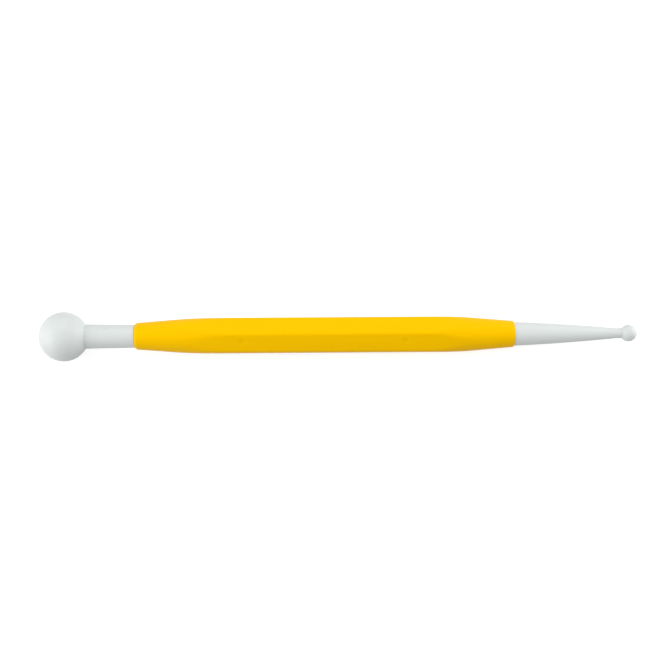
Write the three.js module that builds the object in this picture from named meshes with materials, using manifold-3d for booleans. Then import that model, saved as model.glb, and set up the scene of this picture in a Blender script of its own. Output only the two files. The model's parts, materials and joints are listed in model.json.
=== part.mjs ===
// A double-ended ball tool for shaping soft modelling paste. A hexagonal handle narrows to a round nose at
// each end, and a moulded end with a ball on a tapering neck is pressed into each nose.
// Millimetres, +Z up. The tool lies along X as it rests on a table: on its large ball, at -X, and on the far
// end of the handle's lowest flat. The origin is on the table, below the middle of the tool.
import * as THREE from "three";
import { mergeVertices } from "three/addons/utils/BufferGeometryUtils.js";
import Module from "manifold-3d";

const wasm = await Module();
wasm.setup();

// Handle: a hexagonal sleeve that is bored through
const handleLength = 97.3;
const acrossFlats = 9;
const longEdgeRadius = 1;
const coreBoreDiameter = 3.4;

// Nose round the large ball end. The angle is between its side and the axis, in degrees, and the blend is how
// far the surface is drawn in where the round nose passes into the flats.
const largeMouthDiameter = 6.76;
const largeNoseAngle = 4.45;
const largeNoseBlend = 0.34;
const largeRimRadius = 0.7;

// Nose round the small ball end
const smallMouthDiameter = 6.72;
const smallNoseAngle = 4.75;
const smallNoseBlend = 0.22;
const smallRimRadius = 0.3;

// Two gate marks in one flat, each a shallow dish with a pit in its middle. The pair's middle lies a little
// nearer the large ball than the handle's, and the shift is from the middle of the flat towards the top.
const gateSpacing = 41.6;
const gateMiddle = -0.4;
const gateShift = 0.55;
const dishDiameter = 2.2;
const dishDepth = 0.1;
const pitDiameter = 0.9;
const pitDepth = 0.25;

// Large ball end. The neck is measured from the handle to where its side would meet the ball.
const largeBallDiameter = 12.7;
const largeNeckLength = 12.7;
const largeSeatDiameter = 5.9;
const largeNeckDiameter = 6.26;
const largeNeckSwell = 0;
const largeNeckLand = 0;
const largeFilletRadius = 0.3;

// Small ball end. The swell is how far the neck's taper bows out from a straight line, and the land is the
// even stretch between the taper and the ball.
const smallBallDiameter = 4.32;
const smallNeckLength = 28.1;
const smallSeatDiameter = 6.12;
const smallNeckDiameter = 2.64;
const smallNeckSwell = 0.17;
const smallNeckLand = 1.5;
const smallFilletRadius = 0.25;

// Spigot of each end, with crush ribs that grip the handle's socket
const spigotDiameter = 3.8;
const spigotLength = 16;
const spigotChamfer = 0.5;
const ribCount = 4;
const ribHeight = 0.25;
const ribRadius = 0.4;
const ribLead = 2;
const ribSetback = 0.8;

// Clearances between an end and the handle
const seatGap = 0.25;
const ribClearance = 0.05;
const spigotEndClearance = 1.5;
const socketLeadIn = 0.25;

// Smoothness of the facets. A flat has an odd number of steps, so that it ends in a short edge and not in a
// corner.
const roundSegments = 48;
const ballSteps = 20;
const neckSteps = 8;
const filletSteps = 3;
const flatSteps = 7;
const edgeSteps = 4;
const noseSteps = 14;
const rimSteps = 4;
const smallRoundSegments = 24;

// How far a cutter runs past the face that it cuts
const cutOverrun = 1;

const degrees = Math.PI / 180;
const apothem = acrossFlats / 2;
const halfHandle = handleLength / 2;
const socketRadius = spigotDiameter / 2 + ribHeight + ribClearance;
const socketDepth = spigotLength - seatGap + spigotEndClearance;
const largeNose = {
  mouthRadius: largeMouthDiameter / 2,
  slope: Math.tan(largeNoseAngle * degrees),
  blend: largeNoseBlend,
  rimRadius: largeRimRadius,
};
const smallNose = {
  mouthRadius: smallMouthDiameter / 2,
  slope: Math.tan(smallNoseAngle * degrees),
  blend: smallNoseBlend,
  rimRadius: smallRimRadius,
};
const largeEnd = {
  ballRadius: largeBallDiameter / 2,
  neckLength: largeNeckLength,
  seatRadius: largeSeatDiameter / 2,
  neckRadius: largeNeckDiameter / 2,
  neckSwell: largeNeckSwell,
  neckLand: largeNeckLand,
  filletRadius: largeFilletRadius,
};
const smallEnd = {
  ballRadius: smallBallDiameter / 2,
  neckLength: smallNeckLength,
  seatRadius: smallSeatDiameter / 2,
  neckRadius: smallNeckDiameter / 2,
  neckSwell: smallNeckSwell,
  neckLand: smallNeckLand,
  filletRadius: smallFilletRadius,
};

// A closed three.js geometry as a solid that can be joined and cut.
function toSolid(geometry) {
  const bare = geometry.clone();
  bare.deleteAttribute("normal");
  bare.deleteAttribute("uv");
  const merged = mergeVertices(bare);
  const corners = merged.index.array;
  const kept = [];
  for (let i = 0; i < corners.length; i += 3) {
    const [a, b, c] = corners.slice(i, i + 3);
    if (a !== b && b !== c && c !== a) kept.push(a, b, c);
  }
  return new wasm.Manifold(
    new wasm.Mesh({
      numProp: 3,
      vertProperties: merged.attributes.position.array,
      triVerts: new Uint32Array(kept),
    }),
  );
}

// A solid as a three.js geometry with flat-shaded faces.
function toGeometry(solid) {
  const { vertProperties, triVerts, numProp } = solid.getMesh();
  const geometry = new THREE.BufferGeometry();
  const positions = new THREE.InterleavedBuffer(vertProperties, numProp);
  geometry.setAttribute("position", new THREE.InterleavedBufferAttribute(positions, 3, 0));
  geometry.setIndex(new THREE.BufferAttribute(triVerts, 1));
  const faceted = geometry.toNonIndexed();
  faceted.computeVertexNormals();
  return faceted;
}

// A revolved solid whose profile runs up the Y axis, from one point on the axis to another. One facet of each
// band faces +Z and one faces -Z, so that a ball lies on a facet and not on a corner.
function revolve(profile, segments = roundSegments) {
  return new THREE.LatheGeometry(profile, segments).rotateY(Math.PI / segments);
}

// Points along an arc in the profile plane, with angles from the radial direction towards +Y.
function arcPoints(centreRadius, centreY, radius, from, to, steps) {
  const points = [];
  for (let i = 0; i <= steps; i++) {
    const angle = from + ((to - from) * i) / steps;
    const x = centreRadius + radius * Math.cos(angle);
    points.push(new THREE.Vector2(x, centreY + radius * Math.sin(angle)));
  }
  return points;
}

// The lower of two lengths, rounded over where they are within the blend of each other.
function softLower(a, b, blend) {
  const overlap = Math.max(blend - Math.abs(a - b), 0);
  return Math.min(a, b) - (overlap * overlap) / (4 * blend);
}

// Distance from the axis to the hexagon, at an angle from the middle of one of its flats.
const edgeCentre = (apothem - longEdgeRadius) / Math.cos(30 * degrees);
const flatHalfWidth = (apothem - longEdgeRadius) * Math.tan(30 * degrees);
const flatHalfAngle = Math.atan(flatHalfWidth / apothem);
function hexagonRadius(angle) {
  if (Math.abs(angle) <= flatHalfAngle) return apothem / Math.cos(angle);
  const fromEdge = 30 * degrees - Math.abs(angle);
  const across = edgeCentre * Math.sin(fromEdge);
  return edgeCentre * Math.cos(fromEdge) + Math.sqrt(longEdgeRadius ** 2 - across ** 2);
}

// Radius of a round nose at a distance from its mouth, with its rim rounded over.
function noseRadius(nose, distance) {
  const rimLeft = Math.max(nose.rimRadius - distance, 0);
  const rimDrop = nose.rimRadius - Math.sqrt(nose.rimRadius ** 2 - rimLeft ** 2);
  return nose.mouthRadius + nose.slope * distance - rimDrop;
}

// Distance from the mouth to where the nose has left the last of the hexagon's long edges.
function noseLength(nose) {
  const fullRadius = edgeCentre + longEdgeRadius + nose.blend;
  return Math.min((fullRadius - nose.mouthRadius) / nose.slope, halfHandle);
}

// Distances from the mouth at which the handle's section is drawn: close together round the rim, then even.
function noseStations(nose) {
  const stations = [];
  for (let i = 0; i < rimSteps; i++) {
    stations.push(nose.rimRadius * (1 - Math.cos((90 * degrees * i) / rimSteps)));
  }
  for (let i = 0; i <= noseSteps; i++) {
    const share = i / noseSteps;
    stations.push(nose.rimRadius + (noseLength(nose) - nose.rimRadius) * share);
  }
  return stations;
}

// Angles round the section, each with its angle from the middle of its flat. One flat faces straight down.
function sectionAngles() {
  const angles = [];
  for (let flat = 0; flat < 6; flat++) {
    const middle = (30 + 60 * flat) * degrees;
    for (let i = 0; i < flatSteps; i++) {
      const fromMiddle = flatHalfAngle * ((2 * i) / flatSteps - 1);
      angles.push({ angle: middle + fromMiddle, fromMiddle });
    }
    for (let i = 0; i < edgeSteps; i++) {
      const pastFlat = ((60 * degrees - 2 * flatHalfAngle) * i) / edgeSteps;
      const fromMiddle = flatHalfAngle + pastFlat;
      const folded = Math.min(fromMiddle, 60 * degrees - fromMiddle);
      angles.push({ angle: middle + fromMiddle, fromMiddle: folded });
    }
  }
  return angles;
}

// A solid through rings of points, all with the same number of points, closed by a fan at each end.
function loft(rings, firstCentre, lastCentre) {
  const count = rings[0].length;
  const positions = [...rings.flat(), firstCentre, lastCentre].flatMap((point) => point.toArray());
  const first = rings.length * count;
  const last = first + 1;
  const lastRing = (rings.length - 1) * count;
  const index = [];
  for (let i = 0; i < count; i++) {
    const next = (i + 1) % count;
    index.push(first, next, i);
    index.push(last, lastRing + i, lastRing + next);
    for (let ring = 0; ring < rings.length - 1; ring++) {
      const near = ring * count;
      const far = near + count;
      index.push(near + i, near + next, far + next);
      index.push(near + i, far + next, far + i);
    }
  }
  const geometry = new THREE.BufferGeometry();
  geometry.setAttribute("position", new THREE.Float32BufferAttribute(positions, 3));
  geometry.setIndex(index);
  return geometry;
}

// The handle's outside, along X, with the large ball's end at -X.
function handleBody() {
  const angles = sectionAngles();
  const stations = [
    ...noseStations(largeNose),
    ...noseStations(smallNose).map((distance) => handleLength - distance).reverse(),
  ];
  const distinct = stations.filter((at, i) => i === 0 || at - stations[i - 1] > 1e-3);
  const rings = distinct.map((at) => {
    const largeRadius = noseRadius(largeNose, at);
    const smallRadius = noseRadius(smallNose, handleLength - at);
    return angles.map(({ angle, fromMiddle }) => {
      const afterLarge = softLower(hexagonRadius(fromMiddle), largeRadius, largeNose.blend);
      const radius = softLower(afterLarge, smallRadius, smallNose.blend);
      return new THREE.Vector3(at - halfHandle, radius * Math.cos(angle), radius * Math.sin(angle));
    });
  });
  const firstCentre = new THREE.Vector3(-halfHandle, 0, 0);
  const lastCentre = new THREE.Vector3(halfHandle, 0, 0);
  return toSolid(loft(rings, firstCentre, lastCentre));
}

// The through bore: a socket with a lead-in at each mouth and a narrower core bore between them.
function boreCutter() {
  const coreRadius = coreBoreDiameter / 2;
  const mouth = halfHandle;
  const floor = mouth - socketDepth;
  const step = Math.abs(socketRadius - coreRadius);
  const half = [
    [coreRadius, floor - step],
    [socketRadius, floor],
    [socketRadius, mouth - socketLeadIn],
    [socketRadius + socketLeadIn, mouth],
    [socketRadius + socketLeadIn, mouth + cutOverrun],
    [0, mouth + cutOverrun],
  ];
  const profile = [
    ...half.map(([radius, y]) => new THREE.Vector2(radius, -y)).reverse(),
    ...half.map(([radius, y]) => new THREE.Vector2(radius, y)),
  ];
  return toSolid(revolve(profile).rotateZ(-90 * degrees));
}

// Cutter for one gate mark. It sinks into the upper flat at -Y.
function gateCutter(x) {
  const profile = [
    new THREE.Vector2(0, -pitDepth),
    new THREE.Vector2(pitDiameter / 2, -pitDepth),
    new THREE.Vector2(pitDiameter / 2, -dishDepth),
    new THREE.Vector2(dishDiameter / 2, -dishDepth),
    new THREE.Vector2(dishDiameter / 2, cutOverrun),
    new THREE.Vector2(0, cutOverrun),
  ];
  const cutter = revolve(profile, smallRoundSegments);
  cutter.translate(0, apothem, -gateShift).rotateX(150 * degrees).translate(x, 0, 0);
  return toSolid(cutter);
}

function makeHandle() {
  let solid = handleBody().subtract(boreCutter());
  for (const side of [-1, 1]) {
    solid = solid.subtract(gateCutter(gateMiddle + (side * gateSpacing) / 2));
  }
  return toGeometry(solid);
}

// Distance from the handle to the centre of an end's ball.
function ballReach(end) {
  return end.neckLength + Math.sqrt(end.ballRadius ** 2 - end.neckRadius ** 2);
}

// Side of a neck and its ball, from the seat to the ball's tip, with a fillet in the corner between them.
function neckAndBall(end) {
  const reach = ballReach(end) - seatGap;
  const filletRadius = end.filletRadius;
  const filletFromAxis = end.neckRadius + filletRadius;
  const filletFromBall = Math.sqrt((end.ballRadius + filletRadius) ** 2 - filletFromAxis ** 2);
  const filletY = reach - filletFromBall;
  const touchAngle = Math.atan2(-filletFromBall, filletFromAxis);
  const start = new THREE.Vector2(end.seatRadius, 0);
  const finish = new THREE.Vector2(end.neckRadius, filletY - end.neckLand);
  const bowed = start.clone().lerp(finish, 0.5);
  bowed.x += 2 * end.neckSwell;
  const taper = new THREE.QuadraticBezierCurve(start, bowed, finish).getPoints(neckSteps);
  const land = end.neckLand > 0 ? [new THREE.Vector2(end.neckRadius, filletY)] : [];
  const filletEnd = Math.PI + touchAngle;
  const fillet = arcPoints(filletFromAxis, filletY, filletRadius, Math.PI, filletEnd, filletSteps);
  const ball = arcPoints(0, reach, end.ballRadius, touchAngle, 90 * degrees, ballSteps);
  return [...taper, ...land, ...fillet.slice(1), ...ball.slice(1)];
}

// One crush rib beside the Y axis, half sunk in the spigot, with a lead at the end that enters first.
function crushRib(turn) {
  const tip = -spigotLength + spigotChamfer;
  const profile = [
    new THREE.Vector2(0, tip),
    new THREE.Vector2(ribRadius, tip + ribLead),
    new THREE.Vector2(ribRadius, -ribSetback),
    new THREE.Vector2(0, -ribSetback),
  ];
  const rib = revolve(profile, smallRoundSegments);
  rib.translate(spigotDiameter / 2 + ribHeight - ribRadius, 0, 0).rotateY(turn);
  return toSolid(rib);
}

// A ball end along Y, with its seat at y = 0, its spigot below and its ball above.
function makeBallEnd(end) {
  const spigotRadius = spigotDiameter / 2;
  const profile = [
    new THREE.Vector2(0, -spigotLength),
    new THREE.Vector2(spigotRadius - spigotChamfer, -spigotLength),
    new THREE.Vector2(spigotRadius, -spigotLength + spigotChamfer),
    new THREE.Vector2(spigotRadius, 0),
    ...neckAndBall(end),
  ];
  let solid = toSolid(revolve(profile));
  for (let i = 0; i < ribCount; i++) {
    solid = solid.add(crushRib((i * 360 * degrees) / ribCount));
  }
  return toGeometry(solid);
}

function mesh(name, geometry, material) {
  const made = new THREE.Mesh(geometry, material);
  made.name = name;
  return made;
}

const yellowPlastic = new THREE.MeshStandardMaterial({ color: 0xfdd000, roughness: 0.4, metalness: 0 });
const whitePlastic = new THREE.MeshStandardMaterial({ color: 0xe4e9e6, roughness: 0.35, metalness: 0 });

const handle = mesh("handle", makeHandle(), yellowPlastic);

const largeBallEnd = mesh("large_ball_end", makeBallEnd(largeEnd), whitePlastic);
largeBallEnd.rotation.z = 90 * degrees;
largeBallEnd.position.x = -halfHandle - seatGap;

const smallBallEnd = mesh("small_ball_end", makeBallEnd(smallEnd), whitePlastic);
smallBallEnd.rotation.z = -90 * degrees;
smallBallEnd.position.x = halfHandle + seatGap;

// At rest the table touches the large ball and the place where the lowest flat begins to pass into the small
// nose.
const largeReach = halfHandle + ballReach(largeEnd);
const smallReach = halfHandle + ballReach(smallEnd);
const flatEndRadius = apothem + smallNose.blend / 2;
const flatEnd = halfHandle - (flatEndRadius - smallNose.mouthRadius) / smallNose.slope;
const contactReach = largeReach + flatEnd;
const contactDistance = Math.hypot(contactReach, apothem);
const restTilt = Math.asin(largeEnd.ballRadius / contactDistance) - Math.atan2(apothem, contactReach);
const leftmost = -largeReach * Math.cos(restTilt) - largeEnd.ballRadius;
const rightmost = smallReach * Math.cos(restTilt) + smallEnd.ballRadius;

const ballTool = new THREE.Group();
const lying = new THREE.Group();
lying.add(handle, largeBallEnd, smallBallEnd);
lying.rotation.y = restTilt;
lying.position.x = -(leftmost + rightmost) / 2;
lying.position.z = largeEnd.ballRadius - largeReach * Math.sin(restTilt);
ballTool.add(lying);

export default ballTool;
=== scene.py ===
"""A double-ended ball modelling tool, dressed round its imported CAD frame.

A hexagonal yellow handle narrows to a round nose at each end, and a white moulded ball tip is pressed
into each nose. Metres, +Z up. Each piece is modelled along the X axis about the handle's middle, and is
then laid down in the tool's rest pose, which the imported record's two flats give.
"""

import json
import logging
import math
from collections.abc import Callable, Iterator
from contextlib import contextmanager
from dataclasses import dataclass
from enum import Enum
from itertools import pairwise

import bmesh
import bpy
from mathutils import Matrix, Vector


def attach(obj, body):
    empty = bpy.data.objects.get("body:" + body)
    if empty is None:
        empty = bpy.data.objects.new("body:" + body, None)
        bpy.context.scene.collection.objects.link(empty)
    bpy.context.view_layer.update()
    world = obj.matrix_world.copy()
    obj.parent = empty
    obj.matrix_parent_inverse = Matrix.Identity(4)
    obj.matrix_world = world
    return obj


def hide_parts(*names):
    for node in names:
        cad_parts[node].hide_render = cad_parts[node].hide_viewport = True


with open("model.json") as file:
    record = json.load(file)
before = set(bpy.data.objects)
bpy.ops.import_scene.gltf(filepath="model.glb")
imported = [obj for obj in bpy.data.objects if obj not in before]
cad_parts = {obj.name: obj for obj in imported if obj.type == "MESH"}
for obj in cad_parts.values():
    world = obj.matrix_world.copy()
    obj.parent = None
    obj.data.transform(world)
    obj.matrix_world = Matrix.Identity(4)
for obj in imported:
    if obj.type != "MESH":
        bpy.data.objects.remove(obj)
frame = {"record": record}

MM = 0.001
LOG = logging.getLogger("ball_tool")

# Points this near to each other are one point
TOUCHING = 1e-7
# How far a point may lie along X from the ring that it belongs to
IN_RING = 0.01 * MM
# The share of a whole length or direction that is as good as all of it
NEARLY = 0.9
QUARTER_TURN = math.radians(90)
# The handle's flats, the turn from one to the next, and the turn to the long edge between them
FLATS = 6
SIDE_TURN = math.radians(60)
HALF_SIDE = math.radians(30)
# How fine a noise is, and the range that most of its values lie in
NOISE_DETAIL = 3
NOISE_RANGE = (0.3, 0.7)

EdgeOrFace = bmesh.types.BMEdge | bmesh.types.BMFace
NodeTree = bpy.types.NodeTree
Socket = bpy.types.NodeSocket
Inputs = dict[str | int, object]
Colour = tuple[float, float, float]
ProfilePoint = tuple[float, float]


class Slot(Enum):
    """The record's material slots."""

    YELLOW_PLASTIC = "yellow_plastic"
    WHITE_PLASTIC = "white_plastic"


class HandleEnd(Enum):
    """The two ends of the handle, each with its direction along X."""

    LARGE = -1
    SMALL = 1


# Modelling by hand


def choose(piece: bpy.types.Object) -> None:
    """Selects one object alone and makes it active.

    Args:
        piece: The object to work on.
    """
    bpy.ops.object.select_all(action="DESELECT")
    piece.select_set(True)
    bpy.context.view_layer.objects.active = piece


@contextmanager
def editing(piece: bpy.types.Object, kind: str = "EDGE") -> Iterator[None]:
    """Holds a piece in edit mode with nothing selected.

    Args:
        piece: The mesh object to edit.
        kind: What is selected in it: EDGE or FACE.
    """
    choose(piece)
    bpy.ops.object.mode_set(mode="EDIT")
    bpy.ops.mesh.select_mode(type=kind)
    bpy.ops.mesh.select_all(action="DESELECT")
    yield
    bpy.ops.object.mode_set(mode="OBJECT")


def pick(piece: bpy.types.Object, wanted: Callable[[EdgeOrFace], bool]) -> None:
    """Selects the edges or the faces of a piece that pass a test, and no others.

    Args:
        piece: The mesh object in edit mode, where edges or faces are selected.
        wanted: Says of one of them whether it is selected.
    """
    bpy.ops.mesh.select_all(action="DESELECT")
    mesh = bmesh.from_edit_mesh(piece.data)
    for part in mesh.faces if "FACE" in mesh.select_mode else mesh.edges:
        if wanted(part):
            part.select_set(True)
    mesh.select_flush_mode()
    bmesh.update_edit_mesh(piece.data)


def draw_ring(start: ProfilePoint, stops: list[ProfilePoint]) -> None:
    """Extrudes the selected ring along the X axis, from stop to stop of a turned profile.

    Args:
        start: The ring's place along X and its radius.
        stops: The place and the radius that each new ring is drawn to.
    """
    at, radius = start
    for next_at, next_radius in stops:
        bpy.ops.mesh.extrude_region_move(TRANSFORM_OT_translate={"value": (next_at - at, 0, 0)})
        share = next_radius / radius
        bpy.ops.transform.resize(value=(1, share, share), center_override=(next_at, 0, 0))
        at, radius = next_at, next_radius


def apply_modifier(piece: bpy.types.Object, kind: str, **settings: object) -> None:
    """Adds a modifier to a piece, sets it up and applies it.

    Args:
        piece: The mesh object.
        kind: The modifier's type.
        settings: The modifier's own settings.
    """
    choose(piece)
    modifier = piece.modifiers.new(kind.title(), kind)
    for name, value in settings.items():
        setattr(modifier, name, value)
    bpy.ops.object.modifier_apply(modifier=modifier.name)


def combine(piece: bpy.types.Object, tools: list[bpy.types.Object], operation: str) -> None:
    """Joins other solids to a piece or cuts them from it, and removes them.

    Args:
        piece: The solid that stays.
        tools: The solids that are used up.
        operation: UNION or DIFFERENCE.
    """
    for tool in tools:
        apply_modifier(piece, "BOOLEAN", operation=operation, object=tool, solver="EXACT")
        bpy.data.objects.remove(tool)


def copy_of(piece: bpy.types.Object, move: Matrix) -> bpy.types.Object:
    """A copy of a piece with its own mesh, in another place.

    Args:
        piece: The mesh object to copy.
        move: How the copy's points are moved.

    Returns:
        The new object, at the origin.
    """
    made = piece.copy()
    made.data = piece.data.copy()
    made.data.transform(move)
    bpy.context.scene.collection.objects.link(made)
    return made


def face_outwards(piece: bpy.types.Object) -> None:
    """Merges a piece's doubled points and turns all its faces outwards.

    Args:
        piece: The closed mesh object.
    """
    with editing(piece):
        bpy.ops.mesh.select_all(action="SELECT")
        bpy.ops.mesh.remove_doubles(threshold=TOUCHING)
        bpy.ops.mesh.normals_make_consistent(inside=False)


def shade_smooth(piece: bpy.types.Object, angle: float) -> None:
    """Shades a piece smooth over all but its sharp edges.

    Args:
        piece: The mesh object.
        angle: The angle between faces past which an edge is sharp, in degrees.
    """
    choose(piece)
    bpy.ops.object.shade_smooth_by_angle(angle=math.radians(angle))


def arc(
    centre: ProfilePoint, radius: float, start: float, end: float, steps: int
) -> list[ProfilePoint]:
    """Points along an arc of a turned profile.

    Args:
        centre: The arc's centre, along X and from the axis.
        radius: Its radius.
        start: Its first angle, from the radial direction towards +X, in radians.
        end: Its last angle.
        steps: How many steps it is drawn in.

    Returns:
        The points after the first one, as place along X and radius.
    """
    angles = [start + (end - start) * step / steps for step in range(1, steps + 1)]
    return [(centre[0] + radius * math.sin(a), centre[1] + radius * math.cos(a)) for a in angles]


@dataclass(frozen=True)
class RestPose:
    """How the tool lies on the table, on its large ball and its lowest flat.

    Attributes:
        middle: The handle's middle.
        up: The direction that the handle's top flat faces.
        across_flats: The distance between the handle's lowest and highest flats.
    """

    middle: Vector
    up: Vector
    across_flats: float

    @classmethod
    def from_record(cls, record: dict) -> "RestPose":
        """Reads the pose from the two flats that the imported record's mounts state.

        Args:
            record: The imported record.

        Returns:
            The tool's rest pose.
        """
        mounts = {mount["name"]: mount for mount in record["mounts"]}
        low = Vector(mounts["rest_flat"]["pos_m"])
        high = Vector(mounts["top_flat"]["pos_m"])
        return cls((low + high) / 2, (high - low).normalized(), (high - low).length)

    @property
    def move(self) -> Matrix:
        """The move from the modelling axes to the tool's place on the table."""
        turn = Matrix((Vector((0, 1, 0)).cross(self.up), (0, 1, 0), self.up)).transposed()
        return Matrix.Translation(self.middle) @ turn.to_4x4()

    def lay_down(self, piece: bpy.types.Object) -> None:
        """Moves a piece from the modelling axes to its place, and keeps the place in its mesh.

        Args:
            piece: A piece that was modelled along X about the origin.
        """
        piece.matrix_world = self.move
        choose(piece)
        bpy.ops.object.transform_apply(location=True, rotation=True, scale=True)


# Shader nodes


def fill_inputs(tree: NodeTree, node: bpy.types.Node, inputs: Inputs) -> None:
    """Links sockets to a node's inputs, or sets the inputs' values.

    Args:
        tree: The node tree that holds the node.
        node: The node.
        inputs: What each input gets, by its name or number: another node's socket, or a value.
    """
    for key, value in inputs.items():
        if isinstance(value, Socket):
            tree.links.new(value, node.inputs[key])
        else:
            node.inputs[key].default_value = value


def add_node(
    tree: NodeTree, kind: str, inputs: Inputs, output: str, **settings: object
) -> Socket:
    """Adds a shader node, sets it up and fills its inputs.

    Args:
        tree: The node tree of a material or of the world.
        kind: The node's type.
        inputs: What each input gets, as for fill_inputs.
        output: The name of the output that is wanted.
        settings: The node's own settings.

    Returns:
        The wanted output.
    """
    made = tree.nodes.new(kind)
    for name, value in settings.items():
        setattr(made, name, value)
    fill_inputs(tree, made, inputs)
    return made.outputs[output]


def noise(tree: NodeTree, place: Socket, size: float) -> Socket:
    """A noise pattern on some coordinates, with cells of one size."""
    inputs = {"Vector": place, "Scale": 1 / size, "Detail": NOISE_DETAIL}
    return add_node(tree, "ShaderNodeTexNoise", inputs, "Fac")


def spread(tree: NodeTree, value: Socket, low: float, high: float) -> Socket:
    """Spreads the middle of a noise's range over another range.

    Args:
        tree: The material's node tree.
        value: The noise's value.
        low: What the noise's low values become.
        high: What its high values become.

    Returns:
        The socket that gives the new value.
    """
    first, last = NOISE_RANGE
    inputs = {"Value": value, "From Min": first, "From Max": last, "To Min": low, "To Max": high}
    return add_node(tree, "ShaderNodeMapRange", inputs, "Result")


# Finishes


@dataclass(frozen=True)
class GateDarkening:
    """A darker spot in a paler ring in the plastic's colour, round each gate mark.

    Attributes:
        reach: The distance from the gate at which it has faded away.
        tones: Shares of the reach, each with the share of its own colour that the plastic has there.
    """

    reach: float
    tones: tuple[tuple[float, float], ...]

    def tone(self, tree: NodeTree, place: Socket, gates: list[Vector]) -> Socket:
        """The share of its own colour that the plastic has, round several gates.

        Args:
            tree: The material's node tree.
            place: The piece's Object coordinates.
            gates: Where the gates were, in the same coordinates.

        Returns:
            The socket that gives the share.
        """
        nearest: float | Socket = self.reach
        for gate in gates:
            found = add_node(
                tree, "ShaderNodeVectorMath", {0: place, 1: gate}, "Value", operation="DISTANCE"
            )
            nearest = add_node(
                tree, "ShaderNodeMath", {0: nearest, 1: found}, "Value", operation="MINIMUM"
            )
        share = add_node(
            tree, "ShaderNodeMath", {0: nearest, 1: self.reach}, "Value", operation="DIVIDE"
        )
        curve = tree.nodes.new("ShaderNodeFloatCurve")
        curve.mapping.use_clip = False
        points = curve.mapping.curves[0].points
        points[0].location = self.tones[0]
        points[1].location = self.tones[-1]
        for at, level in self.tones[1:-1]:
            points.new(at, level)
        curve.mapping.update()
        fill_inputs(tree, curve, {"Value": share})
        return curve.outputs["Value"]


@dataclass(frozen=True)
class MouldedPlastic:
    """An opaque moulded plastic with a satin skin, faint flow streaks and a fine grain.

    Attributes:
        name: The material's name.
        colour: Its colour, linear.
        streak_colour: The slightly different colour that the streaks pass through.
        reflection: How strong its reflections are; a half is that of most plastics.
        reflection_tint: Their tint.
        roughness: How rough the skin is.
        roughness_spread: How far the roughness wanders either way.
        grain_size: The size of the grain.
        grain_depth: The depth of the grain.
        streak_width: The width of the flow streaks.
        streak_stretch: How much longer the streaks are than wide.
        gate_darkening: A darker spot in a paler ring in its colour round its gates, if it has one.
    """

    name: str
    colour: Colour
    streak_colour: Colour
    reflection: float
    reflection_tint: Colour
    roughness: float
    roughness_spread: float
    grain_size: float
    grain_depth: float
    streak_width: float
    streak_stretch: float
    gate_darkening: GateDarkening | None = None

    def material(self, gates: list[Vector]) -> bpy.types.Material:
        """Builds the finish as a node material on Object coordinates.

        Args:
            gates: Where the piece's gates were, in its Object coordinates.

        Returns:
            The new material.
        """
        made = bpy.data.materials.new(self.name)
        made.use_nodes = True
        made.diffuse_color = (*self.colour, 1)
        tree = made.node_tree
        place = add_node(tree, "ShaderNodeTexCoord", {}, "Object")
        colour = self._streaked_colour(tree, place)
        # A darker spot in a paler ring, scaled into the colour round each gate mark
        if self.gate_darkening:
            toned = {0: colour, "Scale": self.gate_darkening.tone(tree, place, gates)}
            colour = add_node(tree, "ShaderNodeVectorMath", toned, "Vector", operation="SCALE")
        grain = noise(tree, place, self.grain_size)
        raised = {"Height": grain, "Distance": self.grain_depth}
        low = self.roughness - self.roughness_spread
        high = self.roughness + self.roughness_spread
        skin = {
            "Base Color": colour,
            "Roughness": spread(tree, grain, low, high),
            "Normal": add_node(tree, "ShaderNodeBump", raised, "Normal"),
            "Specular IOR Level": self.reflection,
            "Specular Tint": (*self.reflection_tint, 1),
        }
        fill_inputs(tree, tree.nodes["Principled BSDF"], skin)
        return made

    def _streaked_colour(self, tree: NodeTree, place: Socket) -> Socket:
        """The plastic's colour, with streaks drawn out along the tool, as it flowed into its mould.

        Args:
            tree: The material's node tree.
            place: The piece's Object coordinates.

        Returns:
            The socket that gives it.
        """
        stretch = {"Vector": place, "Scale": (1 / self.streak_stretch, 1, 1)}
        along = add_node(tree, "ShaderNodeMapping", stretch, "Vector")
        streaks = spread(tree, noise(tree, along, self.streak_width), 0, 1)
        mixed = {"A": (*self.colour, 1), "B": (*self.streak_colour, 1), "Factor": streaks}
        return add_node(tree, "ShaderNodeMix", mixed, "Result", data_type="RGBA")


YELLOW = MouldedPlastic(
    name="yellow_moulded_plastic",
    colour=(0.946, 0.541, 0.0),
    streak_colour=(0.936, 0.526, 0.0),
    reflection=0.2,
    reflection_tint=(1.0, 0.62, 0.0),
    roughness=0.54,
    roughness_spread=0.04,
    grain_size=0.22 * MM,
    grain_depth=0.018 * MM,
    streak_width=1.6 * MM,
    streak_stretch=9,
    # A darker spot in a paler ring round each of the handle's gate marks
    gate_darkening=GateDarkening(
        reach=2.4 * MM,
        tones=((0, 0.945), (0.22, 0.955), (0.42, 1.01), (0.52, 1.02), (0.72, 1.01), (1, 1)),
    ),
)
WHITE = MouldedPlastic(
    name="white_moulded_plastic",
    colour=(0.666, 0.702, 0.689),
    streak_colour=(0.654, 0.689, 0.676),
    reflection=0.35,
    reflection_tint=(1.0, 1.0, 1.0),
    roughness=0.46,
    roughness_spread=0.04,
    grain_size=0.22 * MM,
    grain_depth=0.018 * MM,
    streak_width=1.4 * MM,
    streak_stretch=6,
)


def finish_piece(
    piece: bpy.types.Object, finish: MouldedPlastic, node: str, gates: list[Vector]
) -> None:
    """Gives a finished piece its material and its place in the frame.

    Args:
        piece: The piece, already in its rest pose.
        finish: What it is moulded in.
        node: The CAD node that it stands for.
        gates: Where the gates that it was moulded through lie on the table's axes.
    """
    piece.data.materials.clear()
    piece.data.materials.append(finish.material(gates))
    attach(piece, "root")
    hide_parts(node)


# The handle


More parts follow.
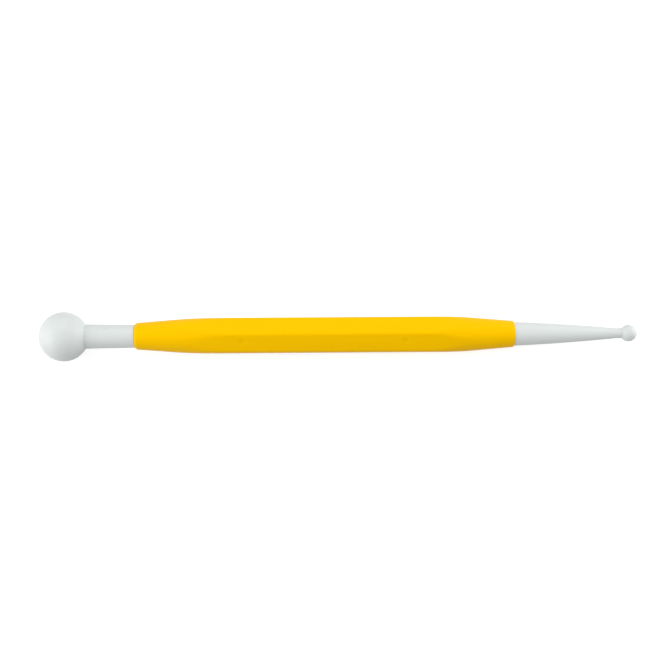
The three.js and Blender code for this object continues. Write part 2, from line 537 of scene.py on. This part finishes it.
def soft_lower(a: float, b: float, blend: float) -> float:
    """The lower of two lengths, rounded over where they are within the blend of each other.

    Args:
        a: One length.
        b: The other length.
        blend: How near to each other they start to pass into one another.

    Returns:
        The blended length.
    """
    overlap = max(blend - abs(a - b), 0)
    return min(a, b) - overlap**2 / (4 * blend)


@dataclass(frozen=True)
class Nose:
    """A round nose at one end of the hexagonal handle.

    Attributes:
        mouth_diameter: Its diameter at the mouth, before the rim is rounded.
        angle: The angle between its side and the axis, in degrees.
        blend: How far the surface is drawn in where the nose passes into the flats.
        rim_radius: The radius of the rim's rounding.
    """

    mouth_diameter: float
    angle: float
    blend: float
    rim_radius: float

    def radius(self, distance: float) -> float:
        """The nose's radius, with its rounded rim.

        Args:
            distance: The distance from the mouth.

        Returns:
            The radius there.
        """
        rim_left = min(max(self.rim_radius - distance, 0), self.rim_radius)
        rim_drop = self.rim_radius - math.sqrt(self.rim_radius**2 - rim_left**2)
        return self.mouth_diameter / 2 + math.tan(math.radians(self.angle)) * distance - rim_drop

    def length(self, corner_radius: float) -> float:
        """How far the nose reaches from its mouth, until it has left the hexagon's rounded corners."""
        widest = corner_radius + self.blend
        return (widest - self.mouth_diameter / 2) / math.tan(math.radians(self.angle))

    def stations(self, corner_radius: float, rim_steps: int, side_step: float) -> list[float]:
        """Distances from the mouth at which the nose gets a ring of points.

        Args:
            corner_radius: The radius of the hexagon's rounded corners.
            rim_steps: How many rings the rim's rounding has.
            side_step: How far apart the rings are along the side.

        Returns:
            The distances, from the mouth inwards.
        """
        turns = [QUARTER_TURN * step / rim_steps for step in range(1, rim_steps + 1)]
        rim = [self.rim_radius * (1 - math.cos(turn)) for turn in turns]
        count = round((self.length(corner_radius) - self.rim_radius) / side_step)
        return rim + [self.rim_radius + side_step * step for step in range(1, count + 1)]


@dataclass(frozen=True)
class GateMark:
    """A shallow dish with a pit in its middle, left where the handle was moulded.

    Attributes:
        dish_diameter: The dish's diameter.
        dish_depth: Its depth at the edge of the pit.
        pit_diameter: The pit's diameter.
        pit_depth: Its depth.
        dish_steps: How far in to the pit and how far down each step of the dish is, as shares.
        pit_steps: How wide and how far down each step of the pit is, as shares.
        segments: How many sides the mark is drawn with.
        clearance: How far its cutter stands out of the flat.
    """

    dish_diameter: float = 2.3 * MM
    dish_depth: float = 0.03 * MM
    pit_diameter: float = 1.0 * MM
    pit_depth: float = 0.08 * MM
    dish_steps: tuple[tuple[float, float], ...] = ((0.5, 0.75), (1.0, 1.0))
    pit_steps: tuple[tuple[float, float], ...] = ((0.6, 0.7), (0.2, 1.0))
    segments: int = 40
    clearance: float = 1 * MM

    def cutter(self) -> bpy.types.Object:
        """The solid that leaves the mark in a flat at z = 0.

        Returns:
            The cutter, with its face downwards.
        """
        radius, pit_radius = self.dish_diameter / 2, self.pit_diameter / 2
        ledge, pit_drop = radius - pit_radius, self.pit_depth - self.dish_depth
        rings = [(radius, 0)]
        rings += [(radius - ledge * way, self.dish_depth * deep) for way, deep in self.dish_steps]
        rings += [
            (pit_radius * wide, self.dish_depth + pit_drop * deep) for wide, deep in self.pit_steps
        ]
        bpy.ops.object.select_all(action="DESELECT")
        bpy.ops.mesh.primitive_circle_add(
            vertices=self.segments, radius=radius, fill_type="NGON", location=(0, 0, self.clearance)
        )
        made = bpy.context.object
        choose(made)
        bpy.ops.object.transform_apply()
        with editing(made, "FACE"):
            bpy.ops.mesh.select_all(action="SELECT")
            bpy.ops.mesh.extrude_region_move(TRANSFORM_OT_translate={"value": (0, 0, -self.clearance)})
            for (at, depth), (next_at, next_depth) in pairwise(rings):
                self._step_down(at, next_at, next_depth - depth)
        face_outwards(made)
        return made

    def _step_down(self, radius: float, next_radius: float, drop: float) -> None:
        """Draws the selected face in and down.

        Args:
            radius: The face's radius.
            next_radius: The radius of the new face.
            drop: How far down it goes.
        """
        share = next_radius / radius
        bpy.ops.mesh.extrude_region_move(TRANSFORM_OT_translate={"value": (0, 0, -drop)})
        bpy.ops.transform.resize(value=(share, share, 1), center_override=(0, 0, 0))


@dataclass(frozen=True)
class Handle:
    """The hexagonal sleeve, with a round nose and a socket at each end.

    Attributes:
        across_flats: The distance between opposite flats.
        length: The distance between the two mouths.
        edge_radius: The radius of the rounded long edges.
        crown_radius: The radius of the faint crown that each flat has across its width.
        large_nose: The nose round the large ball tip.
        small_nose: The nose round the small ball tip.
        gate_mark: The mark that is left twice in the flat that faces forwards and up.
        gate_spacing: The distance between the two marks.
        gate_middle: How far the middle of the pair lies along the handle from the handle's own.
        gate_shift: How far they lie from the middle of the flat, towards the handle's top.
        core_radius: The radius of the bore between the sockets.
        socket_radius: The radius of each socket.
        socket_depth: The depth of each socket.
        lead_in: The size of the slope at each socket's mouth.
        edge_segments: How many strips each rounded long edge has.
        flat_cuts: How many times each flat is divided across its width.
        rim_steps: How many rings of points each rim's rounding has.
        ring_step: How far apart the rings are along the noses.
        middle_step: How far apart they are between the noses.
        sharp_angle: The angle between faces past which an edge looks sharp, in degrees.
    """

    across_flats: float
    length: float = 97.3 * MM
    edge_radius: float = 1.0 * MM
    crown_radius: float = 38 * MM
    large_nose: Nose = Nose(6.76 * MM, 4.45, 0.34 * MM, 0.7 * MM)
    small_nose: Nose = Nose(6.72 * MM, 4.75, 0.22 * MM, 0.3 * MM)
    gate_mark: GateMark = GateMark()
    gate_spacing: float = 41.6 * MM
    gate_middle: float = -0.4 * MM
    gate_shift: float = 0.55 * MM
    core_radius: float = 1.7 * MM
    socket_radius: float = 2.2 * MM
    socket_depth: float = 17.25 * MM
    lead_in: float = 0.25 * MM
    edge_segments: int = 6
    flat_cuts: int = 15
    rim_steps: int = 7
    ring_step: float = 0.6 * MM
    middle_step: float = 1.2 * MM
    sharp_angle: float = 30

    @property
    def apothem(self) -> float:
        """The distance from the axis to a flat."""
        return self.across_flats / 2

    @property
    def corner_radius(self) -> float:
        """The distance from the axis to a rounded long edge."""
        return (self.apothem - self.edge_radius) / math.cos(HALF_SIDE) + self.edge_radius

    @property
    def crown_from_axis(self) -> float:
        """The distance from the axis to the centre of a flat's crown, beyond the handle."""
        return self.crown_radius - self.apothem

    def section_radius(self, turn: float) -> float:
        """The radius of the handle's section between its noses.

        Args:
            turn: The angle from the middle of the nearest flat, in radians.

        Returns:
            The distance from the axis to the crowned flat or to the rounded long edge.
        """
        crown_from_axis = self.crown_from_axis
        edge_reach = self.crown_radius - self.edge_radius
        beside = crown_from_axis * math.sin(HALF_SIDE)
        edge_from_axis = math.sqrt(edge_reach**2 - beside**2) - crown_from_axis * math.cos(HALF_SIDE)
        crown_turn = math.asin(edge_from_axis * math.sin(HALF_SIDE) / edge_reach)
        touch = Vector((math.cos(crown_turn), math.sin(crown_turn))) * self.crown_radius
        if turn < math.atan2(touch.y, touch.x - crown_from_axis):
            across = crown_from_axis * math.sin(turn)
            return math.sqrt(self.crown_radius**2 - across**2) - crown_from_axis * math.cos(turn)
        from_edge = HALF_SIDE - turn
        across = edge_from_axis * math.sin(from_edge)
        return math.sqrt(self.edge_radius**2 - across**2) + edge_from_axis * math.cos(from_edge)

    def build(self, pose: RestPose) -> bpy.types.Object:
        """Models the handle and lays it down.

        Args:
            pose: How the tool lies.

        Returns:
            The finished piece.
        """
        shell = self._rounded_bar()
        self._add_rings(shell)
        self._draw_in_noses(shell)
        self._bore(shell)
        self._leave_gate_marks(shell)
        shade_smooth(shell, self.sharp_angle)
        pose.lay_down(shell)
        gates = [pose.move @ place @ Vector() for place in self._gate_places()]
        finish_piece(shell, YELLOW, "handle", gates)
        return shell

    def _rounded_bar(self) -> bpy.types.Object:
        """A hexagonal bar along X, open at its ends, with rounded long edges and a flat facing down.

        Returns:
            The new object.
        """
        bpy.ops.object.select_all(action="DESELECT")
        bpy.ops.mesh.primitive_cylinder_add(
            vertices=FLATS,
            radius=self.apothem / math.cos(HALF_SIDE),
            depth=self.length,
            end_fill_type="NOTHING",
            rotation=(0, QUARTER_TURN, 0),
        )
        bar = bpy.context.object
        bar.name = bar.data.name = "handle_shell"
        bpy.ops.object.transform_apply(rotation=True)
        with editing(bar):
            pick(bar, lambda edge: edge.calc_length() > self.length / 2)
            offset = self.edge_radius * math.tan(HALF_SIDE)
            bpy.ops.mesh.bevel(offset=offset, segments=self.edge_segments, affect="EDGES")
            flat_width = 2 * (self.apothem - self.edge_radius) * math.tan(HALF_SIDE)
            pick(bar, lambda edge: flat_width * NEARLY < edge.calc_length() < self.length / 2)
            bpy.ops.mesh.subdivide(number_cuts=self.flat_cuts)
        return bar

    def _ring_places(self) -> list[float]:
        """Where along X the bar gets a ring of points: close in the noses, wider between them.

        Returns:
            The places, in no order.
        """
        half = self.length / 2
        settings = (self.corner_radius, self.rim_steps, self.ring_step)
        large = [distance - half for distance in self.large_nose.stations(*settings)]
        small = [half - distance for distance in self.small_nose.stations(*settings)]
        gap = min(small) - max(large)
        count = round(gap / self.middle_step)
        middle = [max(large) + gap * step / count for step in range(1, count)]
        return large + middle + small

    def _add_rings(self, bar: bpy.types.Object) -> None:
        """Cuts the bar across wherever it gets a ring of points.

        Args:
            bar: The rounded bar.
        """
        with editing(bar):
            for place in self._ring_places():
                bpy.ops.mesh.select_all(action="SELECT")
                bpy.ops.mesh.bisect(plane_co=(place, 0, 0), plane_no=(1, 0, 0), threshold=TOUCHING)

    def _draw_in_noses(self, bar: bpy.types.Object) -> None:
        """Crowns the flats and draws each ring's points in to the round noses, with a soft passage.

        Args:
            bar: The bar with all its rings.
        """
        half = self.length / 2
        for vertex in bar.data.vertices:
            plain = math.hypot(vertex.co.y, vertex.co.z)
            past_edge = math.atan2(vertex.co.z, vertex.co.y) % SIDE_TURN
            radius = self.section_radius(abs(past_edge - HALF_SIDE))
            large = self.large_nose.radius(half + vertex.co.x)
            small = self.small_nose.radius(half - vertex.co.x)
            radius = soft_lower(radius, large, self.large_nose.blend)
            radius = soft_lower(radius, small, self.small_nose.blend)
            vertex.co.y *= radius / plain
            vertex.co.z *= radius / plain

    def _bore(self, shell: bpy.types.Object) -> None:
        """Turns each open end inwards as a socket with a lead-in, and joins the sockets by the bore.

        Args:
            shell: The drawn-in bar, still open at its ends.
        """
        half = self.length / 2
        step = self.socket_radius - self.core_radius
        with editing(shell):
            for end, nose in ((HandleEnd.LARGE, self.large_nose), (HandleEnd.SMALL, self.small_nose)):
                mouth = end.value * half
                pick(shell, lambda edge, at=mouth: edge.is_boundary and _lies_at(edge, at))
                stops = [
                    (half, self.socket_radius + self.lead_in),
                    (half - self.lead_in, self.socket_radius),
                    (half - self.socket_depth, self.socket_radius),
                    (half - self.socket_depth - step, self.core_radius),
                ]
                draw_ring((mouth, nose.radius(0)), [(end.value * at, radius) for at, radius in stops])
            pick(shell, lambda edge: edge.is_boundary)
            bpy.ops.mesh.bridge_edge_loops()
        face_outwards(shell)

    def _gate_places(self) -> list[Matrix]:
        """The moves from the origin to the marks' places in the flat that faces forwards and up.

        Returns:
            A move for each mark.
        """
        beside = math.asin(self.gate_shift / self.crown_radius)
        onto_flat = (
            Matrix.Rotation(SIDE_TURN, 4, "X")
            @ Matrix.Translation((0, 0, -self.crown_from_axis))
            @ Matrix.Rotation(-beside, 4, "X")
            @ Matrix.Translation((0, 0, self.crown_radius))
        )
        along = [self.gate_middle + side * self.gate_spacing / 2 for side in (-1, 1)]
        return [Matrix.Translation((at, 0, 0)) @ onto_flat for at in along]

    def _leave_gate_marks(self, shell: bpy.types.Object) -> None:
        """Sinks the two gate marks in their flat.

        Args:
            shell: The bored handle.
        """
        cutter = self.gate_mark.cutter()
        cutters = [copy_of(cutter, place) for place in self._gate_places()]
        bpy.data.objects.remove(cutter)
        combine(shell, cutters, "DIFFERENCE")


def _lies_at(edge: bmesh.types.BMEdge, place: float) -> bool:
    """Says whether both ends of an edge lie at one place along X."""
    return all(abs(vertex.co.x - place) < IN_RING for vertex in edge.verts)


# The ball tips


@dataclass(frozen=True)
class Pinhole:
    """A tiny round pit in the side of a neck, where air was caught in the mould.

    Attributes:
        from_mouth: Its distance from the handle's mouth.
        turn: How far round the neck it lies from the top, in degrees.
        radius: The radius of its round wall.
        depth: Its depth.
        segments: How many sides the ball that leaves it has.
        rings: How many rings of faces that ball has from pole to pole.
    """

    from_mouth: float
    turn: float
    radius: float = 0.2 * MM
    depth: float = 0.2 * MM
    segments: int = 24
    rings: int = 16

    def cutter(self, neck_radius: float) -> bpy.types.Object:
        """The ball that leaves the pit.

        Args:
            neck_radius: The distance from the axis to the neck's side.

        Returns:
            The cutter, as it stands in a neck along X.
        """
        bpy.ops.object.select_all(action="DESELECT")
        bpy.ops.mesh.primitive_uv_sphere_add(
            segments=self.segments, ring_count=self.rings, radius=self.radius
        )
        made = bpy.context.object
        from_axis = neck_radius + self.radius - self.depth
        turn = Matrix.Rotation(math.radians(self.turn), 4, "X")
        made.data.transform(turn @ Matrix.Translation((self.from_mouth, 0, from_axis)))
        return made


@dataclass(frozen=True)
class BallTip:
    """A moulded ball on a neck, with a ribbed spigot that is pressed into the handle.

    Attributes:
        name: The piece's name.
        node: The CAD node that it stands for.
        end: The end of the handle that it is pressed into.
        ball_radius: The ball's radius.
        neck_length: From the handle's mouth to where the neck's side would meet the ball.
        seat_radius: The neck's radius at the handle.
        neck_radius: The neck's radius at the ball.
        neck_swell: How far the side of the neck's taper bows out from a straight line.
        neck_land: The length of the even stretch between the taper and the ball.
        fillet_radius: The radius of the corner between the neck and the ball.
        spigot_radius: The spigot's radius.
        spigot_length: From the seat to the spigot's end.
        spigot_chamfer: The slope at the spigot's end.
        rib_count: How many crush ribs the spigot has.
        rib_radius: The radius of a rib's rounding.
        rib_height: How far a rib stands out of the spigot.
        rib_lead: The length of its pointed start.
        rib_setback: How far it stops short of the seat.
        rib_segments: How many sides a rib is drawn with.
        seat_gap: How far the CAD part's seat stays from the handle's mouth.
        hairline: The gap that is left there in this piece.
        pinholes: The tiny pits in its neck.
        segments: How many sides it is turned with.
        ball_rings: How many rings of faces the ball has from pole to pole.
        neck_steps: How many steps the neck's taper is drawn in.
        fillet_steps: How many steps the fillet is drawn in.
        sharp_angle: The angle between faces past which an edge looks sharp, in degrees.
    """

    name: str
    node: str
    end: HandleEnd
    ball_radius: float
    neck_length: float
    seat_radius: float
    neck_radius: float
    neck_swell: float
    neck_land: float
    fillet_radius: float
    spigot_radius: float = 1.9 * MM
    spigot_length: float = 16 * MM
    spigot_chamfer: float = 0.5 * MM
    rib_count: int = 4
    rib_radius: float = 0.4 * MM
    rib_height: float = 0.25 * MM
    rib_lead: float = 2 * MM
    rib_setback: float = 0.8 * MM
    rib_segments: int = 24
    seat_gap: float = 0.25 * MM
    hairline: float = 0.02 * MM
    pinholes: tuple[Pinhole, ...] = ()
    segments: int = 96
    ball_rings: int = 64
    neck_steps: int = 24
    fillet_steps: int = 8
    sharp_angle: float = 40

    @property
    def ball_reach(self) -> float:
        """The distance from the handle's mouth to the ball's centre."""
        return self.neck_length + math.sqrt(self.ball_radius**2 - self.neck_radius**2)

    @property
    def fillet_from_axis(self) -> float:
        """The distance from the axis to the centre of the fillet's arc."""
        return self.neck_radius + self.fillet_radius

    @property
    def fillet_from_ball(self) -> float:
        """The distance along the axis from the ball's centre back to the centre of the fillet's arc."""
        return math.sqrt((self.ball_radius + self.fillet_radius) ** 2 - self.fillet_from_axis**2)

    def build(self, pose: RestPose, handle_length: float) -> bpy.types.Object:
        """Models the tip and lays it down.

        Args:
            pose: How the tool lies.
            handle_length: The distance between the handle's two mouths.

        Returns:
            The finished piece.
        """
        tip = self._ball()
        self._draw_neck(tip)
        combine(tip, self._ribs(), "UNION")
        pits = [pinhole.cutter(self._neck_radius_at(pinhole.from_mouth)) for pinhole in self.pinholes]
        combine(tip, pits, "DIFFERENCE")
        face_outwards(tip)
        shade_smooth(tip, self.sharp_angle)
        self._press_in(tip, handle_length)
        pose.lay_down(tip)
        finish_piece(tip, WHITE, self.node, [])
        return tip

    def _ball(self) -> bpy.types.Object:
        """The ball, with its poles on the X axis, opened where its fillet starts.

        Returns:
            The new object.
        """
        bpy.ops.object.select_all(action="DESELECT")
        bpy.ops.mesh.primitive_uv_sphere_add(
            segments=self.segments,
            ring_count=self.ball_rings,
            radius=self.ball_radius,
            location=(self.ball_reach, 0, 0),
            rotation=(0, QUARTER_TURN, 0),
        )
        ball = bpy.context.object
        ball.name = ball.data.name = self.name
        bpy.ops.object.transform_apply(location=True, rotation=True)
        share = self.ball_radius / (self.ball_radius + self.fillet_radius)
        opening = self.ball_reach - self.fillet_from_ball * share
        with editing(ball):
            bpy.ops.mesh.select_all(action="SELECT")
            bpy.ops.mesh.bisect(
                plane_co=(opening, 0, 0), plane_no=(1, 0, 0), clear_inner=True, threshold=TOUCHING
            )
        return ball

    def _neck_side(self) -> list[ProfilePoint]:
        """Points along the neck's side, from the fillet to the seat.

        Returns:
            Each point's place along X and its radius.
        """
        ball_end = self.ball_reach - self.fillet_from_ball - self.neck_land
        seat_end = self.seat_gap
        side = [(ball_end, self.neck_radius)] if self.neck_land > 0 else []
        for step in range(1, self.neck_steps + 1):
            share = step / self.neck_steps
            straight = self.neck_radius + (self.seat_radius - self.neck_radius) * share
            bow = 4 * self.neck_swell * share * (1 - share)
            side.append((ball_end + (seat_end - ball_end) * share, straight + bow))
        return side

    def _neck_radius_at(self, place: float) -> float:
        """The neck's radius at a distance from the handle's mouth."""
        share = place / self.neck_length
        return self.seat_radius + (self.neck_radius - self.seat_radius) * share

    def _draw_neck(self, tip: bpy.types.Object) -> None:
        """Draws the fillet, the neck and the spigot out of the ball's opening, and closes the end.

        Args:
            tip: The opened ball.
        """
        touch = math.atan2(self.fillet_from_ball, self.fillet_from_axis)
        start = (
            self.ball_reach - self.ball_radius * math.sin(touch),
            self.ball_radius * math.cos(touch),
        )
        fillet_centre = (self.ball_reach - self.fillet_from_ball, self.fillet_from_axis)
        fillet = arc(fillet_centre, self.fillet_radius, math.pi - touch, math.pi, self.fillet_steps)
        spigot_end = self.seat_gap - self.spigot_length
        stops = [
            *fillet,
            *self._neck_side(),
            (self.hairline, self.seat_radius),
            (self.hairline, self.spigot_radius),
            (spigot_end + self.spigot_chamfer, self.spigot_radius),
            (spigot_end, self.spigot_radius - self.spigot_chamfer),
        ]
        with editing(tip):
            pick(tip, lambda edge: edge.is_boundary)
            draw_ring(start, stops)
            bpy.ops.mesh.edge_face_add()

    def _ribs(self) -> list[bpy.types.Object]:
        """Crush ribs round the spigot, each half sunk in it, with a pointed lead.

        Returns:
            The ribs, one object each.
        """
        spigot_end = self.seat_gap - self.spigot_length
        start = spigot_end + self.spigot_chamfer + self.rib_lead
        stop = self.seat_gap - self.rib_setback
        from_axis = self.spigot_radius + self.rib_height - self.rib_radius
        bpy.ops.object.select_all(action="DESELECT")
        bpy.ops.mesh.primitive_cylinder_add(
            vertices=self.rib_segments,
            radius=self.rib_radius,
            depth=stop - start,
            location=((start + stop) / 2, 0, 0),
            rotation=(0, QUARTER_TURN, 0),
        )
        rib = bpy.context.object
        bpy.ops.object.transform_apply(location=True, rotation=True)
        with editing(rib, "FACE"):
            pick(rib, lambda face: face.normal.x < -NEARLY)
            bpy.ops.mesh.extrude_region_move(TRANSFORM_OT_translate={"value": (-self.rib_lead, 0, 0)})
            bpy.ops.mesh.merge(type="CENTER")
        rib.data.transform(Matrix.Translation((0, 0, from_axis)))
        turns = [math.tau * number / self.rib_count for number in range(self.rib_count)]
        ribs = [copy_of(rib, Matrix.Rotation(turn, 4, "X")) for turn in turns]
        bpy.data.objects.remove(rib)
        return ribs

    def _press_in(self, tip: bpy.types.Object, handle_length: float) -> None:
        """Moves the tip from the origin to its end of the handle.

        Args:
            tip: The tip, pointing along +X with the mouth at the origin.
            handle_length: The distance between the handle's two mouths.
        """
        if self.end is HandleEnd.LARGE:
            tip.data.transform(Matrix.Rotation(math.pi, 4, "Z"))
        tip.data.transform(Matrix.Translation((self.end.value * handle_length / 2, 0, 0)))


LARGE_TIP = BallTip(
    name="large_ball_tip",
    node="large_ball_end",
    end=HandleEnd.LARGE,
    ball_radius=6.331 * MM,
    neck_length=12.7 * MM,
    seat_radius=2.95 * MM,
    neck_radius=3.13 * MM,
    neck_swell=0,
    neck_land=0,
    fillet_radius=0.3 * MM,
    pinholes=(Pinhole(7.07 * MM, 4.5),),
)
SMALL_TIP = BallTip(
    name="small_ball_tip",
    node="small_ball_end",
    end=HandleEnd.SMALL,
    ball_radius=2.155 * MM,
    neck_length=28.1 * MM,
    seat_radius=3.06 * MM,
    neck_radius=1.32 * MM,
    neck_swell=0.17 * MM,
    neck_land=1.5 * MM,
    fillet_radius=0.25 * MM,
    segments=72,
    ball_rings=48,
)


# The studio


def seen_directly(tree: NodeTree) -> Socket:
    """1 for what the camera sees, straight, in a gloss or through glass, and 0 for light.

    Args:
        tree: The node tree of a material or of the world.

    Returns:
        The socket that gives it.
    """
    path = tree.nodes.new("ShaderNodeLightPath")
    seen = path.outputs["Is Camera Ray"]
    for kind in ("Is Glossy Ray", "Is Transmission Ray"):
        either = {0: seen, 1: path.outputs[kind]}
        seen = add_node(tree, "ShaderNodeMath", either, "Value", operation="MAXIMUM")
    return seen


@dataclass(frozen=True)
class Table:
    """The plain pale floor that the tool lies on.

    Attributes:
        side: The length of its sides.
        colour: Its colour, linear.
        lift: How much white is added to what is seen of it.
    """

    side: float = 3.0
    colour: Colour = (0.4, 0.4, 0.4)
    lift: float = 0.8

    def build(self) -> bpy.types.Object:
        """Lays the floor at z = 0.

        Returns:
            The floor.
        """
        bpy.ops.object.select_all(action="DESELECT")
        bpy.ops.mesh.primitive_plane_add(size=self.side)
        floor = bpy.context.object
        floor.name = "table"
        floor.data.materials.append(self._material())
        return floor

    def _material(self) -> bpy.types.Material:
        """A matt white that still takes the tool's shadow.

        Returns:
            The new material.
        """
        made = bpy.data.materials.new("pale_table")
        made.use_nodes = True
        tree = made.node_tree
        tree.nodes.clear()
        matt = add_node(tree, "ShaderNodeBsdfDiffuse", {"Color": (*self.colour, 1)}, "BSDF")
        lifted = {0: seen_directly(tree), 1: self.lift}
        strength = add_node(tree, "ShaderNodeMath", lifted, "Value", operation="MULTIPLY")
        glow = add_node(tree, "ShaderNodeEmission", {"Strength": strength}, "Emission")
        both = add_node(tree, "ShaderNodeAddShader", {0: matt, 1: glow}, "Shader")
        fill_inputs(tree, tree.nodes.new("ShaderNodeOutputMaterial"), {"Surface": both})
        return made


@dataclass(frozen=True)
class SoftLamp:
    """One soft area lamp that faces the tool.

    Attributes:
        name: Its name.
        place: Where it hangs.
        width: Its width.
        depth: Its other side.
        power: Its power, in watts.
    """

    name: str
    place: tuple[float, float, float]
    width: float
    depth: float
    power: float

    def hang(self) -> None:
        """Adds the lamp to the scene."""
        data = bpy.data.lights.new(self.name, "AREA")
        data.shape = "RECTANGLE"
        data.size = self.width
        data.size_y = self.depth
        data.energy = self.power
        lamp = bpy.data.objects.new(self.name, data)
        lamp.location = self.place
        lamp.rotation_euler = Vector(self.place).to_track_quat("Z", "Y").to_euler()
        bpy.context.scene.collection.objects.link(lamp)


@dataclass(frozen=True)
class Studio:
    """Plain soft studio light: large lamps round the tool in a pale room.

    Attributes:
        lamps: The soft lamps.
        room_light: The strength of the light that comes from all round.
    """

    lamps: tuple[SoftLamp, ...]
    room_light: float

    def build(self) -> None:
        """Hangs the lamps and lights the room."""
        for lamp in self.lamps:
            lamp.hang()
        world = bpy.data.worlds.new("pale_room")
        bpy.context.scene.world = world
        world.use_nodes = True
        tree = world.node_tree
        levels = {"A": self.room_light, "B": 1, "Factor": seen_directly(tree)}
        light = {"Color": (1, 1, 1, 1), "Strength": add_node(tree, "ShaderNodeMix", levels, "Result")}
        fill_inputs(tree, tree.nodes["Background"], light)


STUDIO = Studio(
    lamps=(
        SoftLamp("left_side", (-0.53, -0.22, 0.2), 0.5, 0.45, 2.5),
        SoftLamp("right_side", (0.56, 0.1, 0.2), 0.5, 0.45, 2.45),
        SoftLamp("overhead", (0.0, 0.2, 0.56), 0.5, 0.45, 1.05),
    ),
    room_light=0.53,
)


@dataclass(frozen=True)
class PhotoCamera:
    """A camera at the photograph's viewing angle, for a square picture.

    Attributes:
        target: What it looks at.
        distance: How far it is from there.
        elevation: Its height above the horizon, in degrees.
        roll: How far it is turned clockwise about its view, in degrees.
        lens: Its focal length, in millimetres.
        sensor: The width of its picture at the lens, in millimetres.
        nearest: The nearest distance at which it sees.
    """

    target: tuple[float, float, float] = (-1.67 * MM, 0, 6.23 * MM)
    distance: float = 284 * MM
    elevation: float = 56.2
    roll: float = 0.949
    lens: float = 59.96
    sensor: float = 36
    nearest: float = 10 * MM

    def build(self) -> None:
        """Adds the camera and makes it the scene's own."""
        data = bpy.data.cameras.new("photo_camera")
        data.lens = self.lens
        data.sensor_width = self.sensor
        data.clip_start = self.nearest
        camera = bpy.data.objects.new("photo_camera", data)
        turn = Matrix.Rotation(math.radians(90 - self.elevation), 4, "X")
        roll = Matrix.Rotation(math.radians(-self.roll), 4, "Z")
        back = Matrix.Translation((0, 0, self.distance))
        camera.matrix_world = Matrix.Translation(self.target) @ turn @ roll @ back
        bpy.context.scene.collection.objects.link(camera)
        bpy.context.scene.camera = camera


def main() -> None:
    """Builds the tool, its table, its light and its camera, in order."""
    logging.basicConfig(level=logging.INFO, format="%(name)s: %(message)s")
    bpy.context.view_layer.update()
    pose = RestPose.from_record(frame["record"])
    handle = Handle(across_flats=pose.across_flats)
    pieces = [handle.build(pose)]
    pieces += [tip.build(pose, handle.length) for tip in (LARGE_TIP, SMALL_TIP)]
    for piece in pieces:
        mesh = piece.data
        LOG.info("%s has %d points and %d faces", piece.name, len(mesh.vertices), len(mesh.polygons))
    Table().build()
    STUDIO.build()
    PhotoCamera().build()
    bpy.context.scene.view_settings.view_transform = "Standard"


if __name__ == "__main__":
    main()
